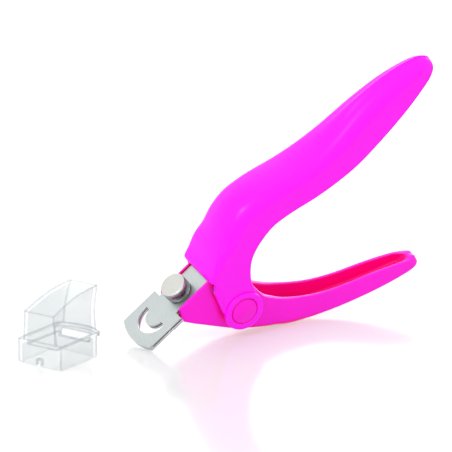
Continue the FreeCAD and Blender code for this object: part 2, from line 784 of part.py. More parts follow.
SPRING_START_Y = -2.6
FIXED_ANGLE = 205.0
FIXED_TURNS = 3.175
FIXED_LEG = 10.0
MOVING_ANGLE = FIXED_ANGLE - FIXED_TURNS * 360 + 1080
MOVING_TURNS = 1.0
MOVING_LEG = 28.2
HALVES_GAP_ANGLE = 1.5


def build_spring():
    """The spring in two rigid halves: turns and leg in the lever, last turn and leg in the handle."""
    pitch = D["coil_pitch"]
    fixed = build_coil("spring_fixed", FIXED_TURNS, FIXED_ANGLE, SPRING_START_Y)
    fixed_end = tangent_end(FIXED_ANGLE, -1, FIXED_LEG)
    fixed_leg = wire_leg("spring_fixed_leg", on_coil(FIXED_ANGLE), fixed_end, SPRING_START_Y)
    node("spring_coil", joined("spring_coil", fixed, fixed_leg))

    start = MOVING_ANGLE - HALVES_GAP_ANGLE
    moving_y = SPRING_START_Y + (FIXED_TURNS + HALVES_GAP_ANGLE / 360) * pitch
    moving = build_coil("spring_moving", MOVING_TURNS, start, moving_y)
    leg_y = moving_y + MOVING_TURNS * pitch
    moving_leg = wire_leg("spring_moving_leg", on_coil(start), tangent_end(start, 1, MOVING_LEG), leg_y)
    node("spring_upper_leg", joined("spring_upper_leg", moving, moving_leg))


# ------------------------------------------------------------------ clippings catcher


CHUTE_BASE_HALF = 6.9
CHUTE_TOP_HALF = 5.5
CHUTE_TOP = 22.9
CHUTE_ROOF = [(-9.9, 18.1), (-5.6, 19.5), (-1.1, 20.9), (4.4, 22.1), (10.0, 22.7), (14.6, CHUTE_TOP)]
CHUTE_BACK = [(14.6, CHUTE_TOP), (12.9, 18.0), (12.0, 13.0), (12.1, 7.5)]


def chute(name, inset):
    """The chute's solid form: its side view, across Y and Z, shared with its tapering front view."""
    low = 7.5 - inset * 3
    roof = [(y, z - inset) for y, z in CHUTE_ROOF]
    roof[0] = (roof[0][0] + inset, roof[0][1] + inset * 0.3)
    roof[-1] = (roof[-1][0] - inset, roof[-1][1])
    back = [roof[-1]] + [(y - inset, z) for y, z in CHUTE_BACK[1:-1]] + [(CHUTE_BACK[-1][0] - inset, low)]
    front = (-9.4 + inset, low)
    side = doc.addObject("Sketcher::SketchObject", name + "_side_outline")
    side.Placement = Placement(Vector(), Rotation(Vector(1, 1, 1), 120))
    side.addGeometry([spline(roof), spline(back), line(back[-1], front), line(front, roof[0])], False)
    along = doc.addObject("Part::Extrusion", name + "_side")
    along.Base, along.DirMode, along.Solid, along.Symmetric = side, "Normal", True, True
    along.LengthFwd = 20
    base, top = CHUTE_BASE_HALF - inset, CHUTE_TOP_HALF - inset
    slope = (CHUTE_BASE_HALF - CHUTE_TOP_HALF) / (CHUTE_TOP - 7.5)
    low_half = base + slope * (7.5 - low)
    section = extrusion(
        name + "_section",
        polygon([(-low_half, low), (low_half, low), (top, CHUTE_TOP + 1), (-top, CHUTE_TOP + 1)]), "60")
    return common(name, along, section)


def build_catcher():
    half_width, half_length = D["skirt_width"] / 2, D["skirt_length"] / 2
    wall = D["catcher_wall"]
    skirt = box(
        "skirt_block", "dims.skirt_width", "dims.skirt_length", "dims.skirt_height",
        "-dims.skirt_width / 2", "-dims.skirt_length / 2", "0")
    inner_width = "(dims.skirt_width - dims.catcher_wall * 2)"
    inner_length = "(dims.skirt_length - dims.catcher_wall * 2)"
    skirt_inside = box(
        "skirt_inside", inner_width, inner_length, "dims.skirt_height",
        f"-{inner_width} / 2", f"-{inner_length} / 2", "-1")
    reach = half_length + D["flange_overhang"]
    round_start = half_length + 1.6
    flange = extrusion(
        "flange",
        [
            line((-half_width, -half_length), (half_width, -half_length)),
            line((half_width, -half_length), (half_width, round_start)),
            arc((half_width, round_start), (0, reach), (-half_width, round_start)),
            line((-half_width, round_start), (-half_width, -half_length)),
        ],
        "dims.flange_thickness", False, "dims.skirt_height - 0.3",
    )
    outside = chute("chute_outside", 0.0)
    inside = chute("chute_inside", wall)
    notch = box("skirt_notch", "2.0", "3", "2.2", "-1.4", "-dims.skirt_length / 2 - 1", "-0.1")
    solid = joined("catcher_solid", skirt, flange, outside)
    node("catcher", cut("catcher", solid, skirt_inside, inside, notch))


# ------------------------------------------------------------------ assembly

build_upper_body()
build_lower_lever()
build_head()
build_blade()
build_clamp()
build_spring()
build_catcher()
doc.recompute()

stance_rotation = Rotation(Vector(0, 1, 0), D["stance_pitch"]) * Rotation(Vector(1, 0, 0), D["stance_roll"])
catcher_rotation = Rotation(Vector(0, 0, 1), D["catcher_turn"])


def lowest(shape, rotation):
    turned = shape.copy()
    turned.Placement = Placement(Vector(), rotation).multiply(turned.Placement)
    return turned.optimalBoundingBox(False).ZMin


tool_nodes = {name: feature for name, feature in nodes.items() if name != "catcher"}
drop = min(lowest(feature.Shape, stance_rotation) for feature in tool_nodes.values())
stance = Placement(Vector(0, 0, -drop), stance_rotation)
catcher_place = Placement(Vector(-D["catcher_ahead"], D["catcher_aside"], 0), catcher_rotation)

for name in ("lower_lever", "lower_guide_plate", "upper_handle"):
    print(name, "lowest point", round(lowest(nodes[name].Shape, stance_rotation) - drop, 2))


def place(feature, placement):
    feature.Placement = placement.multiply(feature.Placement)


for name, feature in nodes.items():
    place(feature, catcher_place if name == "catcher" else stance)
doc.recompute()

everything = Part.makeCompound([feature.Shape for feature in nodes.values()])
bounds = everything.optimalBoundingBox(False)
centring = Placement(Vector(-bounds.Center.x, -bounds.Center.y, -bounds.ZMin), Rotation())
for feature in nodes.values():
    place(feature, centring)
doc.recompute()

# ------------------------------------------------------------------ checks and export

failed = [o.Name for o in doc.Objects if "Invalid" in o.State or "Error" in o.State]
if failed:
    raise RuntimeError(f"features failed: {failed}")
for name, feature in nodes.items():
    shape = feature.Shape
    if shape.isNull() or not shape.isValid() or not shape.Solids:
        raise RuntimeError(f"{name} has no valid solid")
    print(f"{name}: {len(shape.Solids)} solid(s), {shape.Volume:.1f} mm3")

stale = set(os.listdir("parts")) - {name + ".step" for name in nodes}
for file in stale:
    os.remove(os.path.join("parts", file))
for name, feature in nodes.items():
    feature.Shape.exportStep(os.path.join("parts", name + ".step"))

pivot = centring.multVec(stance.multVec(Vector()))
print("pivot centre", [round(c, 3) for c in pivot])
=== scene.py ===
import json
import math

import bmesh
import bpy
import numpy as np
from mathutils import Matrix, Vector


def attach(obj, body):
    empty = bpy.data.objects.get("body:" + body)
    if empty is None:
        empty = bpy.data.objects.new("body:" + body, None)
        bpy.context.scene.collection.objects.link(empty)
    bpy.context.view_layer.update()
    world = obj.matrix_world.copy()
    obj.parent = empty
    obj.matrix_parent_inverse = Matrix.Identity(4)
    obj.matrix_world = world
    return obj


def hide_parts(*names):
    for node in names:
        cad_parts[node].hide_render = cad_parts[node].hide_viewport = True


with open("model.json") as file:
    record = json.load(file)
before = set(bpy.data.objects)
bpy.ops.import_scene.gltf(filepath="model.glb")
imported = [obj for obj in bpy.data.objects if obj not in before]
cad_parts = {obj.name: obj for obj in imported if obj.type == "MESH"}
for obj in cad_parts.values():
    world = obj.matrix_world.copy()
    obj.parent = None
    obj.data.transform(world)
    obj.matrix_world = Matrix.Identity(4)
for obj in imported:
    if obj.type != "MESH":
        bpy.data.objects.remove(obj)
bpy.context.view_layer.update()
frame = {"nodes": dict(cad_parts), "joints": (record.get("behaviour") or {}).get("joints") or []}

# ------------------------------------------------------------------ the tool's own frame

# Shapes are drawn in millimetres in the bench frame: the pivot's centre is the origin, the nose
# points along -X, the plates face +Z and the pivot lies along Y, with the near side at -Y.
MM = 0.001
joints = {joint["name"]: joint for joint in frame["joints"]}
pivot = Vector(joints["handle_squeeze"]["pos_m"])
bench_axes = [Vector(joints[name]["axis"]) for name in ("blade_slide", "handle_squeeze", "clamp_lift")]
BENCH = Matrix.Translation(pivot) @ Matrix(bench_axes).transposed().to_4x4() @ Matrix.Scale(MM, 4)

CHEEK_INNER = 7.0
CHEEK_OUTER = 10.0
BOSS_RADIUS = 7.05
BOSS_RAISE = 0.8
CAP_RADIUS = 4.9
PLATE_TOP = 17.0
PLATE_THICKNESS = 0.75
BLADE_GAP = 0.45
BLADE_THICKNESS = 0.35
LOWER_THICKNESS = 0.8
SCREW_X = -11.1
WASHER_THICKNESS = 0.4
KNOB_RADIUS = 4.5
KNOB_HEIGHT = 4.4


# ------------------------------------------------------------------ mesh helpers


def new_piece(name, verts, faces, body, material, replaced=(), place=BENCH, smooth=True,
              inner=()):
    """A mesh piece from points in a local frame, riding on a body; inner faces take a second material."""
    mesh = bpy.data.meshes.new(name)
    mesh.from_pydata([tuple(place @ Vector(v)) for v in verts], [], faces)
    for index in inner:
        mesh.polygons[index].material_index = 1
    piece = bpy.data.objects.new(name, mesh)
    bpy.context.scene.collection.objects.link(piece)
    tidy = bmesh.new()
    tidy.from_mesh(mesh)
    bmesh.ops.remove_doubles(tidy, verts=tidy.verts, dist=1e-7)
    bmesh.ops.recalc_face_normals(tidy, faces=tidy.faces)
    for face in tidy.faces:
        face.smooth = smooth
    tidy.to_mesh(mesh)
    tidy.free()
    mesh.materials.append(material)
    return settle(piece, body, replaced)


def settle(piece, body, replaced=()):
    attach(piece, body)
    if replaced:
        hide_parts(*replaced)
    return piece


def subdivide(piece, levels):
    modifier = piece.modifiers.new("round", "SUBSURF")
    modifier.levels = modifier.render_levels = levels
    return piece


def smooth_by_angle(piece, degrees, flat_axis=None):
    """Keeps the shading crisp across edges sharper than an angle, and flat on faces across an axis."""
    shading = bmesh.new()
    shading.from_mesh(piece.data)
    for edge in shading.edges:
        edge.smooth = len(edge.link_faces) == 2 and edge.calc_face_angle(0) < math.radians(degrees)
    for face in shading.faces:
        face.smooth = flat_axis is None or abs(face.normal.dot(flat_axis)) < 0.99
    shading.to_mesh(piece.data)
    shading.free()
    return piece


def refine(keys, steps):
    """Stations along a Catmull-Rom curve through rows of numbers."""
    rows = np.array(keys, float)
    padded = np.vstack([2 * rows[0] - rows[1], rows, 2 * rows[-1] - rows[-2]])
    stations = []
    for a, b, c, d in zip(padded, padded[1:], padded[2:], padded[3:]):
        for step in range(steps):
            t = step / steps
            curve = 2 * b + (c - a) * t + (2 * a - 5 * b + 4 * c - d) * t**2
            stations.append(0.5 * (curve + (3 * b - 3 * c + d - a) * t**3))
    stations.append(rows[-1])
    return np.array(stations)


def width_rule(table):
    """Half width as a smooth function of X."""
    fine = refine(table, 6)
    return lambda x: float(np.interp(x, fine[:, 0], fine[:, 1]))


def turned(profile, steps, wobble=None):
    """Points and faces of a profile of (radius, height) turned about the local Z axis."""
    verts, faces = [], []
    count = len(profile)
    for step in range(steps):
        angle = 2 * math.pi * step / steps
        for index, (radius, height) in enumerate(profile):
            radius = max(radius, 1e-4)
            if wobble:
                radius = wobble(index, step, radius)
            verts.append((radius * math.cos(angle), radius * math.sin(angle), height))
    for step in range(steps):
        after = (step + 1) % steps
        for index in range(count - 1):
            faces.append((step * count + index, after * count + index,
                          after * count + index + 1, step * count + index + 1))
    return verts, faces


# ------------------------------------------------------------------ node materials


class Nodes:
    """A small wrapper that makes a node material and links its nodes."""

    def __init__(self, name):
        self.material = bpy.data.materials.new(name)
        self.material.use_nodes = True
        self.tree = self.material.node_tree
        self.shader = self.tree.nodes["Principled BSDF"]
        self.coords = self.add("ShaderNodeTexCoord").outputs["Object"]

    def add(self, kind, **values):
        node = self.tree.nodes.new(kind)
        for key, value in values.items():
            if hasattr(node, key):
                setattr(node, key, value)
            else:
                self.put(node.inputs[key.replace("_", " ")], value)
        return node

    def put(self, socket, value):
        if isinstance(value, bpy.types.NodeSocket):
            self.tree.links.new(value, socket)
        else:
            socket.default_value = value

    def set(self, **values):
        for key, value in values.items():
            self.put(self.shader.inputs[key.replace("_", " ")], value)

    def noise(self, scale, detail=3.0, stretch=(1, 1, 1)):
        mapping = self.add("ShaderNodeMapping", Vector=self.coords, Scale=stretch)
        texture = self.add("ShaderNodeTexNoise", Vector=mapping.outputs[0], Scale=scale, Detail=detail)
        return texture.outputs["Fac"]

    def spread(self, value, low, high):
        """A 0 to 1 value, centred on a half, stretched to a range."""
        node = self.add("ShaderNodeMapRange", Value=value)
        self.put(node.inputs["From Min"], 0.3)
        self.put(node.inputs["From Max"], 0.7)
        self.put(node.inputs["To Min"], low)
        self.put(node.inputs["To Max"], high)
        return node.outputs[0]

    def between(self, value, first, second):
        node = self.add("ShaderNodeMix", data_type="RGBA")
        self.put(node.inputs[0], value)
        self.put(node.inputs[6], (*first, 1))
        self.put(node.inputs[7], (*second, 1))
        return node.outputs[2]

    def bump(self, value, strength, distance):
        node = self.add("ShaderNodeBump", Height=value, Strength=strength, Distance=distance)
        self.put(self.shader.inputs["Normal"], node.outputs[0])


# Painted shade: the pink is mixed towards this crimson where ambient occlusion finds a near surface, in the
# channel, crevices and grooves.
SHADE_CRIMSON = (0.95, 0.0, 0.16)
SHADE_REACH = 0.0036  # metres: a surface nearer than this darkens the pink towards crimson, as painted shade
SHADE_START = 0.74  # share of open sky below which the painted shade starts to turn the pink crimson
SHADE_FULL = 0.34


def pink_plastic(name, colour):
    """Glossy pigmented moulding: faint flow marks, a slight ripple, and painted shade, a crimson mixed in
    where ambient occlusion finds a near surface.
    """
    nodes = Nodes(name)
    flow = nodes.spread(nodes.noise(45, 2.0, (1, 1, 0.4)), 0.0, 1.0)
    darker = tuple(c * 0.95 for c in colour)
    # Painted shade: ambient occlusion over a few millimetres turns the pink crimson in the hollows.
    open_sky = nodes.add("ShaderNodeAmbientOcclusion", Distance=SHADE_REACH, samples=16).outputs["AO"]
    painted_shade = nodes.add("ShaderNodeMapRange", Value=open_sky)
    span = {"From Min": SHADE_START, "From Max": SHADE_FULL, "To Min": 0.0, "To Max": 1.0}
    for socket, value in span.items():
        nodes.put(painted_shade.inputs[socket], value)
    mix = nodes.add("ShaderNodeMix", data_type="RGBA")
    nodes.put(mix.inputs[0], painted_shade.outputs[0])
    nodes.put(mix.inputs[6], nodes.between(flow, colour, darker))
    nodes.put(mix.inputs[7], (*SHADE_CRIMSON, 1))
    nodes.set(Base_Color=mix.outputs[2], Roughness=nodes.spread(nodes.noise(700), 0.30, 0.36), IOR=1.32)
    nodes.bump(nodes.noise(300, 2.0), 0.03, 0.0001)
    return nodes.material


def brushed_metal(name, light, dark, roughness, grain=(1, 30, 1), depth=0.12):
    """Ground metal: long fine streaks in colour, roughness and surface."""
    nodes = Nodes(name)
    streaks = nodes.noise(260, 4.0, grain)
    nodes.set(
        Base_Color=nodes.between(nodes.spread(streaks, 0.0, 1.0), light, dark),
        Metallic=1.0,
        Roughness=nodes.spread(streaks, roughness - 0.05, roughness + 0.07),
        Anisotropic=0.35,
    )
    nodes.bump(streaks, depth, 0.0001)
    return nodes.material


def nylon_plastic(name, colour):
    nodes = Nodes(name)
    mottle = nodes.noise(120)
    darker = tuple(c * 0.9 for c in colour)
    nodes.set(Base_Color=nodes.between(mottle, colour, darker), Roughness=nodes.spread(mottle, 0.42, 0.55))
    nodes.bump(nodes.noise(900), 0.1, 0.0001)
    return nodes.material


def clear_plastic(name, colour, face_on, edge_on):
    """Clear polystyrene: a glossy skin that is fainter face on than edge on, with a slight ripple."""
    nodes = Nodes(name)
    ripple = nodes.noise(90, 1.0)
    glance = nodes.add("ShaderNodeLayerWeight", Blend=0.35).outputs["Facing"]
    alpha = nodes.add("ShaderNodeMapRange", Value=glance)
    nodes.put(alpha.inputs["To Min"], face_on)
    nodes.put(alpha.inputs["To Max"], edge_on)
    darker = tuple(c * 0.94 for c in colour)
    nodes.set(
        Base_Color=nodes.between(nodes.spread(ripple, 0.0, 1.0), colour, darker),
        Roughness=nodes.spread(nodes.noise(400), 0.06, 0.12),
        IOR=1.5,
        Alpha=alpha.outputs[0],
    )
    nodes.bump(ripple, 0.06, 0.0004)
    return nodes.material


handle_pink = pink_plastic("handle_pink", (1.0, 0.003, 0.90))
# The lever's pink has less blue than the handle's: painted shade for the dimmer light on the lever's side.
lever_shade_pink = pink_plastic("lever_shade_pink", (1.0, 0.002, 0.70))
# The channel's inside: a deeper, less blue copy of the lever's pink, painted shade for the light that dies
# between its walls.
channel_shade_pink = pink_plastic("channel_shade_pink", (1.0, 0.0, 0.30))
cap_pink = pink_plastic("cap_pink", (1.0, 0.003, 0.70))
plate_metal = brushed_metal("plate_metal", (0.61, 0.655, 0.655), (0.56, 0.60, 0.60), 0.34, (30, 1, 1))
blade_metal = brushed_metal("blade_metal", (0.42, 0.44, 0.44), (0.33, 0.35, 0.35), 0.28, (1, 30, 1))
knob_metal = brushed_metal("knob_metal", (0.70, 0.70, 0.665), (0.64, 0.64, 0.61), 0.30, (1, 1, 1), 0.05)
# The knurled side's metal is a darker copy of the knob's: painted shade for the knurls' grooves and the
# side's dimmer light.
knurl_shade_metal = brushed_metal("knurl_shade_metal", (0.42, 0.46, 0.46), (0.25, 0.27, 0.27), 0.22, (1, 1, 8), 0.1)
pin_metal = brushed_metal("pin_metal", (0.55, 0.56, 0.57), (0.45, 0.46, 0.47), 0.25, (1, 30, 1))
spring_metal = brushed_metal("spring_metal", (0.50, 0.51, 0.53), (0.38, 0.39, 0.41), 0.3, (30, 30, 1))
brass_metal = brushed_metal("brass_metal", (0.78, 0.58, 0.26), (0.66, 0.47, 0.2), 0.3, (1, 1, 30))
nylon = nylon_plastic("nylon", (0.80, 0.80, 0.77))
clear_wall = clear_plastic("clear_wall", (0.50, 0.58, 0.58), 0.09, 0.46)
clear_edge = clear_plastic("clear_edge", (0.50, 0.53, 0.59), 0.16, 0.50)
clear_base = clear_plastic("clear_base", (0.42, 0.52, 0.54), 0.36, 0.66)

# ------------------------------------------------------------------ hollow mouldings

SIDE_SHARES = (0.0, 0.06, 0.2, 0.4, 0.62, 0.84, 1.0)  # where the points of a straight side lie
SIDE_POINTS = len(SIDE_SHARES)
ARC_POINTS = 5
TOP_POINTS = 4


def section(crown, rim, half_width, radius, bulge):
    """One U section from the near rim over the crown to the far rim, in bench millimetres."""
    crown, rim = np.array(crown), np.array(rim)
    height = np.linalg.norm(crown - rim)
    unit = (crown - rim) / height
    width_here = half_width((crown[0] + rim[0]) / 2)
    radius = max(0.05, min(radius, 0.6 * height, 0.85 * width_here))
    bulge = min(bulge, 0.25 * height)
    shoulder = height - bulge - radius
    half = []
    for share in SIDE_SHARES:
        half.append((share * shoulder, 0.0))
    for step in range(1, ARC_POINTS + 1):
        angle = math.pi / 2 * step / ARC_POINTS
        half.append((shoulder + radius * math.sin(angle), radius * (1 - math.cos(angle))))
    points = []
    for along, inset in half:
        x, z = rim + unit * along
        points.append((x, -max(half_width(x) - inset, 0.02), z))
    flat = -points[-1][1]
    for step in range(1, TOP_POINTS + 1):
        share = 1 - step / TOP_POINTS
        x, z = rim + unit * (height - bulge * share**2)
        points.append((x, -flat * share, z))
    return points + [(x, -y, z) for x, y, z in reversed(points[:-1])]


def hollow_moulding(outer, inner, lip):
    """A wall between two stacks of sections, closed at the last one; before station lip it is two cheeks."""
    rows, count = len(outer), len(outer[0])
    verts = [tuple(p) for layer in (outer, inner) for row in layer for p in row]
    corner = SIDE_POINTS - 1
    last = count - 1

    def at(layer, row, point):
        return (layer * rows + row) * count + point

    def crossing(point):
        return corner <= point < last - corner

    faces = []
    for row in range(rows - 1):
        for point in range(last):
            if row >= lip or not crossing(point):
                for layer in (0, 1):
                    faces.append((at(layer, row, point), at(layer, row, point + 1),
                                  at(layer, row + 1, point + 1), at(layer, row + 1, point)))
        edges = [0, last] + ([corner, last - corner] if row < lip else [])
        for point in edges:
            faces.append((at(0, row, point), at(0, row + 1, point), at(1, row + 1, point), at(1, row, point)))
    for point in range(last):
        row = lip if crossing(point) else 0
        faces.append((at(0, row, point), at(0, row, point + 1), at(1, row, point + 1), at(1, row, point)))
    end = rows - 1
    faces.append((at(0, end, 0), at(0, end, last), at(1, end, last), at(1, end, 0)))
    faces += [tuple(at(layer, end, point) for point in range(count)) for layer in (0, 1)]
    return verts, faces


# ------------------------------------------------------------------ upper handle

# Key sections from the boss to the tip: crown X and Z, rim X and Z, corner radius, crown bulge.
HANDLE_KEYS = [
    (-0.6, -7.0, 0.6, -7.0, 0.3, 0.0),
    (-4.9, -5.1, 4.9, -5.1, 0.4, 0.0),
    (-6.9, -1.3, 6.8, -1.8, 0.5, 0.0),
    (-6.6, 2.6, 7.3, 1.2, 0.5, 0.0),
    (-5.5, 7.8, 7.9, 4.0, 0.5, 0.0),
    (-4.1, 13.4, 8.7, 7.0, 0.6, 0.0),
    (-2.5, 18.3, 10.2, 9.5, 1.0, 0.1),
    (1.4, 21.1, 11.8, 11.7, 1.6, 0.3),
    (5.3, 24.2, 13.7, 13.6, 2.6, 0.4),
    (9.9, 26.7, 16.1, 15.1, 4.4, 0.5),
    (15.1, 29.8, 19.1, 16.2, 5.0, 0.6),
    (21.2, 31.5, 22.5, 16.9, 5.2, 0.6),
    (26.8, 30.9, 26.5, 17.3, 4.8, 0.5),
    (33.7, 28.9, 32.9, 16.1, 4.0, 0.5),
    (42.2, 25.9, 42.2, 13.3, 3.8, 0.5),
    (50.9, 23.9, 51.4, 11.2, 3.8, 0.5),
    (60.8, 23.6, 61.4, 9.6, 4.6, 0.6),
    (73.8, 24.4, 74.0, 9.2, 5.0, 0.8),
    (85.8, 23.4, 84.8, 9.9, 4.6, 0.9),
    (95.4, 21.0, 93.0, 11.0, 3.8, 0.9),
    (100.2, 18.7, 97.7, 11.6, 2.6, 0.7),
    (102.3, 15.8, 100.1, 12.2, 1.4, 0.4),
    (101.9, 13.6, 101.2, 12.9, 0.5, 0.1),
]
LIP_KEY = 6
HANDLE_STEPS = 3
HANDLE_WALL = 1.8
HANDLE_WIDTHS = [
    (-20.0, 10.0), (0.0, 10.0), (8.0, 10.0), (16.0, 9.7), (24.0, 9.4), (36.0, 9.2), (48.0, 9.1),
    (60.0, 8.4), (74.0, 6.9), (85.0, 6.0), (93.0, 5.1), (97.5, 4.2), (99.8, 3.3), (101.4, 2.4),
    (102.5, 1.1),
]
TIP_INNER = [(98.0, 16.6, 96.9, 11.6), (99.4, 14.9, 98.6, 12.2), (99.7, 13.6, 99.3, 12.8)]
RIB_STATIONS = (39, 47, 52)
RIB_HALF = 0.7
RIB_POINT = 3  # the ribs reach down to this point of the section's side

handle_width = width_rule(HANDLE_WIDTHS)


def handle_inner_width(x):
    return max(min(handle_width(x) - HANDLE_WALL, CHEEK_INNER), 0.35)


def inner_key(key, index):
    """The hollow's key section inside a key section of the handle."""
    crown_x, crown_z, rim_x, rim_z, radius, bulge = key
    if index < LIP_KEY:
        return (crown_x, crown_z, rim_x, rim_z, radius, bulge)
    down = np.array([rim_x - crown_x, rim_z - crown_z])
    down *= HANDLE_WALL / np.linalg.norm(down)
    return (crown_x + down[0], crown_z + down[1], rim_x, rim_z, max(radius - HANDLE_WALL, 0.6), bulge)


def build_handle():
    inner_keys = [inner_key(key, index) for index, key in enumerate(HANDLE_KEYS)]
    for index, (crown_x, crown_z, rim_x, rim_z) in enumerate(TIP_INNER):
        place = len(HANDLE_KEYS) - len(TIP_INNER) + index
        inner_keys[place] = (crown_x, crown_z, rim_x, rim_z, 0.6, 0.1)
    outer = [section(k[:2], k[2:4], handle_width, k[4], k[5]) for k in refine(HANDLE_KEYS, HANDLE_STEPS)]
    inner = [section(k[:2], k[2:4], handle_inner_width, k[4], k[5]) for k in refine(inner_keys, HANDLE_STEPS)]
    verts, faces = hollow_moulding(outer, inner, LIP_KEY * HANDLE_STEPS)
    handle = new_piece("handle_shell", verts, faces, "upper", handle_pink, ["upper_handle"])
    subdivide(handle, 1)
    for index, station in enumerate(RIB_STATIONS, start=1):
        build_rib(f"handle_rib_{index}", inner[station])
    return handle


def build_rib(name, outline):
    """A cross rib: the hollow's outline above a height, as a thin plate."""
    shape = outline[RIB_POINT:-RIB_POINT]
    count = len(shape)
    verts = [(x + shift, y, z) for shift in (-RIB_HALF, RIB_HALF) for x, y, z in shape]
    faces = [tuple(range(count)), tuple(range(count, 2 * count))]
    faces += [(i, (i + 1) % count, (i + 1) % count + count, i + count) for i in range(count)]
    return new_piece(name, verts, faces, "upper", handle_pink, smooth=False)


def pivot_place(side):
    """The pivot's axis as a local Z axis that points out of one side."""
    return BENCH @ Matrix.Rotation(math.radians(-90 * side), 4, "X")


def build_boss(name, side):
    """The raised ring round the pivot, with the groove that the cap sits in."""
    face = CHEEK_OUTER + BOSS_RAISE
    profile = [
        (BOSS_RADIUS - 0.05, CHEEK_OUTER - 1.2), (BOSS_RADIUS, CHEEK_OUTER - 0.3), (BOSS_RADIUS, face - 0.45),
        (BOSS_RADIUS - 0.12, face - 0.15), (BOSS_RADIUS - 0.45, face), (CAP_RADIUS + 0.4, face),
        (CAP_RADIUS + 0.12, face - 0.1), (CAP_RADIUS, face - 0.3), (CAP_RADIUS - 0.2, face - 0.42),
        (CAP_RADIUS - 0.2, CHEEK_OUTER - 1.2), (BOSS_RADIUS - 0.05, CHEEK_OUTER - 1.2),
    ]
    verts, faces = turned(profile, 72)
    new_piece(name, verts, faces, "upper", handle_pink, place=pivot_place(side))


def build_cap(name, side, node):
    """The pressed-in cap: a low dome with a soft edge and a shallow step round it."""
    face = CHEEK_OUTER + BOSS_RAISE
    rim = CAP_RADIUS - 0.25
    profile = [(0.0, face - 1.0), (rim, face - 1.0), (rim, face - 0.5), (rim - 0.12, face - 0.25),
               (rim - 0.4, face - 0.08), (rim - 0.8, face + 0.06), (CAP_RADIUS * 0.6, face + 0.25),
               (CAP_RADIUS * 0.3, face + 0.37), (0.0, face + 0.41)]
    verts, faces = turned(profile, 64)
    new_piece(name, verts, faces, "upper", cap_pink, [node], place=pivot_place(side))


# ------------------------------------------------------------------ lower lever with the nose

# Key sections from the nose to the lever's end: belly X and Z, rim X and Z, belly corner radius,
# depth of the hollow below the rim.
LEVER_KEYS = [
    (-17.6, 12.6, -15.4, 17.6, 0.9, 2.6),
    (-15.3, 8.0, -10.5, 17.6, 1.0, 2.8),
    (-12.6, 3.3, -4.5, 17.6, 1.1, 3.0),
    (-10.0, -1.2, 1.0, 17.6, 1.1, 9.0),
    (-7.4, -5.5, 5.0, 16.5, 1.1, 12.0),
    (-6.9, -6.2, 5.6, 16.0, 1.1, 20.0),
    (-5.0, -8.7, 7.3, 12.6, 1.1, 21.0),
    (-2.8, -11.5, 7.9, 4.0, 1.1, 16.5),
    (1.0, -15.7, 8.3, -4.8, 1.1, 10.6),
    (4.5, -19.1, 10.3, -9.4, 1.1, 9.0),
    (8.3, -23.3, 13.7, -14.6, 1.1, 7.8),
    (16.0, -29.8, 21.7, -23.2, 1.2, 6.0),
    (25.4, -36.2, 30.6, -29.8, 1.2, 5.2),
    (36.9, -42.4, 40.6, -35.6, 1.2, 4.8),
    (46.8, -46.6, 49.5, -41.4, 1.2, 3.6),
    (52.6, -48.6, 53.9, -44.7, 1.2, 2.0),
    (55.0, -48.0, 55.8, -45.4, 0.4, 1.0),
]
CHANNEL_END = [  # the channel's last sections: floor X and Z, rim X and Z, half width
    (50.2, -45.2, 51.8, -43.1, 2.0),
    (52.9, -44.2, 53.1, -44.0, 1.0),
]
LEVER_STEPS = 3
LEVER_WIDTHS = [
    (-30.0, 6.8), (2.0, 6.8), (11.0, 6.3), (20.0, 5.4), (32.0, 4.7), (45.0, 4.35), (51.0, 4.0), (53.0, 3.6),
    (54.4, 2.9), (55.3, 2.0), (56.0, 0.9),
]
CHANNEL_WIDTHS = [
    (-30.0, 5.9), (5.35, 5.9), (5.55, 3.6), (9.6, 3.5), (11.4, 4.0), (14.5, 4.3), (22.0, 3.8), (34.0, 3.2),
    (49.5, 2.7), (52.2, 2.0), (53.4, 1.1),
]

lever_width = width_rule(LEVER_WIDTHS)


def channel_width(x):
    return float(np.interp(x, [w[0] for w in CHANNEL_WIDTHS], [w[1] for w in CHANNEL_WIDTHS]))


def channel_key(key):
    """The channel's key section inside a key section of the lever: floor, rim, half width."""
    belly_x, belly_z, rim_x, rim_z, radius, depth = key
    belly, rim = np.array([belly_x, belly_z]), np.array([rim_x, rim_z])
    length = np.linalg.norm(belly - rim)
    floor = rim + (belly - rim) / length * min(depth, length - 0.9)
    return (*floor, *rim, channel_width(rim_x))


def build_lever():
    outer = [section(k[:2], k[2:4], lever_width, k[4], 0.35) for k in refine(LEVER_KEYS, LEVER_STEPS)]
    inner_keys = [channel_key(key) for key in LEVER_KEYS[:-len(CHANNEL_END)]] + CHANNEL_END
    inner = []
    for key in refine(inner_keys, LEVER_STEPS):
        inner.append(section(key[:2], key[2:4], lambda x, half=key[4]: half, 1.0, 0.1))
    verts, faces = hollow_moulding(outer, inner, 0)
    first_inner = len(outer) * len(outer[0])
    # The channel's inner faces take the painted-shade pink.
    channel = [index for index, face in enumerate(faces) if min(face) >= first_inner]
    lever = new_piece("lever_shell", verts, faces, "lower", lever_shade_pink, ["lower_lever"],
                      inner=channel)
    lever.data.materials.append(channel_shade_pink)
    return subdivide(lever, 1)


# ------------------------------------------------------------------ flat metal: plates and blade

HEAD_HALF = 9.0
TAIL_HALF = 5.65
HEAD_CORNER = 31.0
HEAD_REACH = 33.2
HEAD_REAR = 16.7
# The crescent: radius and reach of each arc, and how far forward its horns lie.
MOON = {"outer": (6.1, 23.1), "inner": (3.9, 22.3), "tip": 22.4}
SHANK_RADIUS = 1.9
SHANK_GAP = 0.2
EDGE_BREAK = 0.07
GAP_TOP = PLATE_TOP - PLATE_THICKNESS
LOWER_TOP = GAP_TOP - BLADE_GAP
TOP_TAIL_END = 5.0
LOWER_TAIL_END = -6.5
PLATE_SHOULDER = {"half": 8.6, "depth": 4.4, "thickness": 0.66, "overlap": 0.02}
SPACER_DEPTH = 1.2

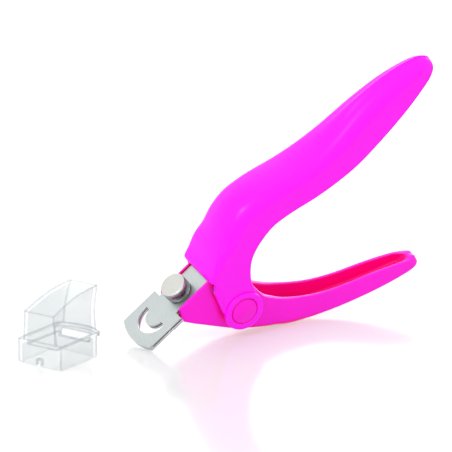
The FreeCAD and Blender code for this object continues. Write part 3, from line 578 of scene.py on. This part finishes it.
BLADE_FRONT = (30.0, 31.9)  # corner and reach of the blade's front arc
BLADE_HALF = 8.2
BLADE_SHOULDER = 21.4
BLADE_TAIL_HALF = 5.2
BLADE_NECK = 0.2  # X where the tail narrows
BLADE_NECK_HALF = 3.0
BLADE_END = 2.2
BLADE_LIFT = 0.4  # the blade's top above the lower plate
WINDOW_RADIUS = 6.4
WINDOW_REAR = 22.2
SLOT_LENGTH = 4.5
RIVET_X = 0.9
RIVET_HOLE = 0.8


def arc_points(start, apex, end, steps=28):
    """Points on the circle through three points, from start to end."""
    (ax, ay), (bx, by), (cx, cy) = start, apex, end
    d = 2 * (ax * (by - cy) + bx * (cy - ay) + cx * (ay - by))
    ux = ((ax**2 + ay**2) * (by - cy) + (bx**2 + by**2) * (cy - ay) + (cx**2 + cy**2) * (ay - by)) / d
    uy = ((ax**2 + ay**2) * (cx - bx) + (bx**2 + by**2) * (ax - cx) + (cx**2 + cy**2) * (bx - ax)) / d
    radius = math.hypot(ax - ux, ay - uy)
    first, middle, last = (math.atan2(y - uy, x - ux) for x, y in (start, apex, end))
    turn = (last - first) % (2 * math.pi)
    if (middle - first) % (2 * math.pi) > turn:
        turn -= 2 * math.pi
    angles = [first + turn * i / steps for i in range(steps + 1)]
    return [(ux + radius * math.cos(angle), uy + radius * math.sin(angle)) for angle in angles]


def circle_points(x, radius, steps=40):
    angles = [2 * math.pi * i / steps for i in range(steps)]
    return [(x + radius * math.cos(angle), radius * math.sin(angle)) for angle in angles]


def front_points(corner, reach, half):
    return arc_points((-corner, -half), (-reach, 0), (-corner, half))


def head_points(tail_end):
    rear = [(-HEAD_REAR, HEAD_HALF), (-HEAD_REAR, TAIL_HALF), (tail_end, TAIL_HALF)]
    return front_points(HEAD_CORNER, HEAD_REACH, HEAD_HALF) + rear + [(x, -y) for x, y in reversed(rear)]


def moon_points():
    outer, outer_x = MOON["outer"][0], -MOON["outer"][1]
    inner, inner_x = MOON["inner"][0], -MOON["inner"][1]
    tip = -MOON["tip"]
    outer_y = math.sqrt(outer**2 - (tip - outer_x) ** 2)
    inner_y = math.sqrt(inner**2 - (tip - inner_x) ** 2)
    outside = arc_points((tip, outer_y), (outer_x - outer, 0), (tip, -outer_y), 40)
    inside = arc_points((tip, -inner_y), (inner_x - inner, 0), (tip, inner_y), 32)
    return outside + inside


def sheet_metal(name, outlines, top, thickness, body, material, replaced, place=BENCH):
    """A flat piece cut to outlines in the local XY plane, with its edges broken."""
    drawing = bpy.data.curves.new(name + "_cut", "CURVE")
    drawing.dimensions = "2D"
    drawing.fill_mode = "BOTH"
    drawing.extrude = thickness / 2 - EDGE_BREAK
    drawing.bevel_depth = EDGE_BREAK
    drawing.bevel_resolution = 1
    drawing.offset = -EDGE_BREAK
    for outline in outlines:
        spline = drawing.splines.new("POLY")
        spline.points.add(len(outline) - 1)
        for point, (x, y) in zip(spline.points, outline):
            point.co = (x, y, 0, 1)
        spline.use_cyclic_u = True
    holder = bpy.data.objects.new(name + "_cut", drawing)
    mesh = bpy.data.meshes.new_from_object(holder)
    verts = [(v.co.x, v.co.y, v.co.z + top - thickness / 2) for v in mesh.vertices]
    faces = [tuple(p.vertices) for p in mesh.polygons]
    bpy.data.objects.remove(holder)
    piece = new_piece(name, verts, faces, body, material, replaced, place)
    return smooth_by_angle(piece, 60, bench_axes[2])


def build_plates():
    """The two guide plates, the lower one's shoulder and the spacer at the front edge."""
    hole = circle_points(SCREW_X, SHANK_RADIUS + SHANK_GAP)
    sheet_metal("guide_plate_top", [head_points(TOP_TAIL_END), moon_points(), hole], PLATE_TOP,
                PLATE_THICKNESS, "lower", plate_metal, ["upper_guide_plate"])
    sheet_metal("guide_plate_bottom", [head_points(LOWER_TAIL_END), moon_points(), hole], LOWER_TOP,
                LOWER_THICKNESS, "lower", plate_metal, ["lower_guide_plate"])
    half, front = PLATE_SHOULDER["half"], -HEAD_REAR - PLATE_SHOULDER["depth"]
    shoulder = [(-HEAD_REAR, half), (front, half), (front, -half), (-HEAD_REAR, -half)]
    shoulder_top = LOWER_TOP - LOWER_THICKNESS + PLATE_SHOULDER["overlap"]
    sheet_metal("guide_plate_shoulder", [shoulder], shoulder_top, PLATE_SHOULDER["thickness"],
                "lower", plate_metal, ())
    band = front_points(HEAD_CORNER, HEAD_REACH, HEAD_HALF)
    band += reversed(front_points(HEAD_CORNER - SPACER_DEPTH, HEAD_REACH - SPACER_DEPTH, HEAD_HALF))
    sheet_metal("nose_spacer", [band], GAP_TOP, BLADE_GAP, "lower", plate_metal, ["nose_shim"])


def build_blade():
    """The blade, with its window, the slot for the screw's shank and the rivet's hole."""
    rear = [(-BLADE_SHOULDER, BLADE_HALF), (-BLADE_SHOULDER, BLADE_TAIL_HALF), (BLADE_NECK, BLADE_TAIL_HALF),
            (BLADE_NECK, BLADE_NECK_HALF), (BLADE_END, BLADE_NECK_HALF)]
    outline = front_points(*BLADE_FRONT, BLADE_HALF) + rear + [(x, -y) for x, y in reversed(rear)]
    window_x = -MOON["outer"][1]
    half = math.sqrt(WINDOW_RADIUS**2 - (WINDOW_REAR + window_x) ** 2)
    window = arc_points((-WINDOW_REAR, half), (window_x - WINDOW_RADIUS, 0), (-WINDOW_REAR, -half), 40)
    slot_half = SHANK_RADIUS + SHANK_GAP
    slot_end = SCREW_X - SLOT_LENGTH
    slot = arc_points((SCREW_X, -slot_half), (SCREW_X + slot_half, 0), (SCREW_X, slot_half), 16)
    slot += arc_points((slot_end, slot_half), (slot_end - slot_half, 0), (slot_end, -slot_half), 16)
    sheet_metal("cutting_blade", [outline, window, slot, circle_points(RIVET_X, RIVET_HOLE, 20)],
                LOWER_TOP + BLADE_LIFT, BLADE_THICKNESS, "blade", blade_metal, ["blade"])


# ------------------------------------------------------------------ clamp screw

KNURLS = 48
KNURL_STEPS = KNURLS * 6
KNURL_DEPTH = 0.3
KNURLED_POINTS = range(5, 9)  # the points of the knob's profile that the knurls cut
BRIGHT_POINT = 11  # the profile's point where the bright rim starts


def build_knob():
    """The knurled screw: straight knurls up to a turned groove, then a bright rim and face; the knurled side
    takes darker metal as painted shade.
    """
    base = PLATE_TOP + WASHER_THICKNESS
    top = base + KNOB_HEIGHT
    low = PLATE_TOP - PLATE_THICKNESS - BLADE_GAP - LOWER_THICKNESS - 5.6
    profile = [
        (0.0, low), (SHANK_RADIUS - 0.4, low), (SHANK_RADIUS, low + 0.4), (SHANK_RADIUS, base),
        (KNOB_RADIUS - 0.35, base), (KNOB_RADIUS - 0.05, base + 0.25), (KNOB_RADIUS, base + 0.5),
        (KNOB_RADIUS, top - 1.3), (KNOB_RADIUS, top - 1.0), (KNOB_RADIUS - 0.28, top - 0.85),
        (KNOB_RADIUS - 0.28, top - 0.7), (KNOB_RADIUS - 0.02, top - 0.55), (KNOB_RADIUS - 0.02, top - 0.28),
        (KNOB_RADIUS - 0.1, top - 0.1), (KNOB_RADIUS - 0.3, top), (KNOB_RADIUS * 0.5, top), (0.0, top),
    ]

    def knurl(index, step, radius):
        if index not in KNURLED_POINTS:
            return radius
        phase = (step * KNURLS / KNURL_STEPS) % 1
        return radius - KNURL_DEPTH * abs(2 * phase - 1) ** 0.8

    verts, faces = turned(profile, KNURL_STEPS, wobble=knurl)
    place = BENCH @ Matrix.Translation((SCREW_X, 0, 0))
    knob = new_piece("knurled_screw", verts, faces, "clamp_screw", knurl_shade_metal,
                     ["clamp_screw"], place)
    knob.data.materials.append(knob_metal)
    face_height = (BENCH @ Vector((SCREW_X, 0, profile[BRIGHT_POINT][1]))).dot(bench_axes[2])
    # Rim and face take the plain metal; the rest keeps the painted-shade knurl metal.
    for polygon in knob.data.polygons:
        if polygon.center.dot(bench_axes[2]) > face_height:
            polygon.material_index = 1
    smooth_by_angle(knob, 32)


# ------------------------------------------------------------------ clippings catcher


CATCHER_SKIRT_TOP = 0.0105  # metres above the floor
BEAD_RADIUS = 0.00032
BEAD_INSET = 0.972  # the beads' paths shrink about the catcher's middle, to stay inside its outer box


def build_catcher():
    """The clear catcher, with the thicker beads that its moulded edges show as."""
    mesh = bpy.data.meshes.new("clippings_catcher")
    shape = bmesh.new()
    shape.from_mesh(frame["nodes"]["catcher"].data)
    bmesh.ops.remove_doubles(shape, verts=shape.verts, dist=2e-6)
    for face in shape.faces:
        face.material_index = 1 if face.calc_center_median().z < CATCHER_SKIRT_TOP else 0
    bmesh.ops.recalc_face_normals(shape, faces=shape.faces)
    sharp = [edge for edge in shape.edges if edge.is_convex and edge.calc_face_angle(0) > math.radians(32)]
    paths = [[vert.co.copy() for vert in edge.verts] for edge in sharp]
    shape.to_mesh(mesh)
    shape.free()
    mesh.materials.clear()
    for material in (clear_wall, clear_base):
        mesh.materials.append(material)
    catcher = bpy.data.objects.new("clippings_catcher", mesh)
    bpy.context.scene.collection.objects.link(catcher)
    settle(catcher, "catcher", ["catcher"])
    smooth_by_angle(catcher, 32)
    build_beads(paths)


def build_beads(paths):
    """Fine rods along the catcher's convex edges. They stand a little out of its walls in places."""
    low = Vector([min(point[axis] for path in paths for point in path) for axis in range(3)])
    high = Vector([max(point[axis] for path in paths for point in path) for axis in range(3)])
    middle = (low + high) / 2
    drawing = bpy.data.curves.new("beads", "CURVE")
    drawing.dimensions = "3D"
    drawing.bevel_depth = BEAD_RADIUS
    drawing.bevel_resolution = 2
    for path in paths:
        if max(point.z for point in path) < 0.001:
            continue
        spline = drawing.splines.new("POLY")
        spline.points.add(1)
        for point, place in zip(spline.points, path):
            point.co = (*(middle + (place - middle) * BEAD_INSET), 1)
    holder = bpy.data.objects.new("beads", drawing)
    source = bpy.data.meshes.new_from_object(holder)
    verts = [tuple(vert.co) for vert in source.vertices]
    faces = [tuple(polygon.vertices) for polygon in source.polygons]
    bpy.data.objects.remove(holder)
    new_piece("catcher_edges", verts, faces, "catcher", clear_edge, place=Matrix())


# ------------------------------------------------------------------ small CAD pieces that stay

KEPT = {
    "pivot_pin": pin_metal, "drive_pin": pin_metal, "blade_rivet": pin_metal, "threaded_insert": brass_metal,
    "pivot_washer_near": nylon, "pivot_washer_far": nylon, "blade_carrier": nylon, "clamp_washer": knob_metal,
    "spring_coil": spring_metal, "spring_upper_leg": spring_metal,
}


def finish_kept_nodes():
    for name, material in KEPT.items():
        slots = frame["nodes"][name].material_slots
        for index in range(len(slots)):
            slots[index].material = material


# ------------------------------------------------------------------ floor, light and camera


def build_floor():
    bpy.ops.mesh.primitive_plane_add(size=6.0, location=(0, 0, 0))
    floor = bpy.context.object
    floor.name = "floor"
    nodes = Nodes("floor_white")
    nodes.set(
        Base_Color=(0.46, 0.46, 0.46, 1), Roughness=nodes.spread(nodes.noise(6), 0.13, 0.17), IOR=1.42,
        Emission_Color=(1, 1, 1, 1), Emission_Strength=0.34)
    nodes.material.cycles.emission_sampling = "NONE"
    floor.data.materials.append(nodes.material)


def add_area(name, position, target, size, power):
    light = bpy.data.lights.new(name, "AREA")
    light.shape = "RECTANGLE"
    light.size, light.size_y = size
    light.energy = power
    lamp = bpy.data.objects.new(name, light)
    bpy.context.scene.collection.objects.link(lamp)
    lamp.location = position
    lamp.rotation_euler = (Vector(target) - Vector(position)).to_track_quat("-Z", "Y").to_euler()


ROOM = 1.08  # strength of the even room
WALL = 2.6  # strength of the back wall
BACK_WALL = (0.49, 0.81, 0.32)  # the direction it lies in
WALL_EDGE = (0.82, 0.97)  # cosines of the angles from that direction where the wall fades out and is full


def build_world():
    """An even white room whose back wall, low behind the object, is the brightest part."""
    world = bpy.data.worlds.new("studio")
    world.use_nodes = True
    tree = world.node_tree
    room = tree.nodes.new("ShaderNodeTexCoord")
    toward = tree.nodes.new("ShaderNodeVectorMath")
    toward.operation = "DOT_PRODUCT"
    toward.inputs[1].default_value = BACK_WALL
    tree.links.new(room.outputs["Generated"], toward.inputs[0])
    glow = tree.nodes.new("ShaderNodeMapRange")
    glow.interpolation_type = "SMOOTHSTEP"
    for name, value in zip(("From Min", "From Max", "To Min", "To Max"), (*WALL_EDGE, ROOM, WALL)):
        glow.inputs[name].default_value = value
    tree.links.new(toward.outputs["Value"], glow.inputs["Value"])
    tree.links.new(glow.outputs[0], tree.nodes["Background"].inputs["Strength"])
    tree.nodes["Background"].inputs["Color"].default_value = (1, 1, 1, 1)
    bpy.context.scene.world = world


def build_light():
    build_world()
    middle = (0, 0, 0.04)
    add_area("key", (-0.72, -0.62, 0.80), middle, (0.3, 0.3), 4.0)
    bpy.context.scene.view_settings.view_transform = "Standard"


AZIMUTH = -16.69
ELEVATION = 16.23
DISTANCE = 1.2
TARGET_SHIFT = Vector((-0.00182, -0.002105, 0.0))
TARGET_HEIGHT = 0.03724
LENS = 288.8


def build_camera():
    camera = bpy.data.objects.new("camera", bpy.data.cameras.new("camera"))
    bpy.context.scene.collection.objects.link(camera)
    turn, rise = math.radians(AZIMUTH), math.radians(ELEVATION)
    back = Vector((math.sin(turn) * math.cos(rise), -math.cos(turn) * math.cos(rise), math.sin(rise)))
    target = Vector((pivot.x, pivot.y, TARGET_HEIGHT)) + TARGET_SHIFT
    camera.location = target + back * DISTANCE
    camera.rotation_mode = "QUATERNION"
    camera.rotation_quaternion = (-back).to_track_quat("-Z", "Y")
    camera.data.lens = LENS
    camera.data.sensor_width = 36.0
    bpy.context.scene.camera = camera


build_camera()
build_handle()
for boss_side, side_name in ((-1, "near"), (1, "far")):
    build_boss(f"pivot_boss_{side_name}", boss_side)
    build_cap(f"boss_cap_{side_name}", boss_side, f"pivot_cap_{side_name}")
build_lever()
build_plates()
build_blade()
build_knob()
build_catcher()
finish_kept_nodes()
build_floor()
build_light()
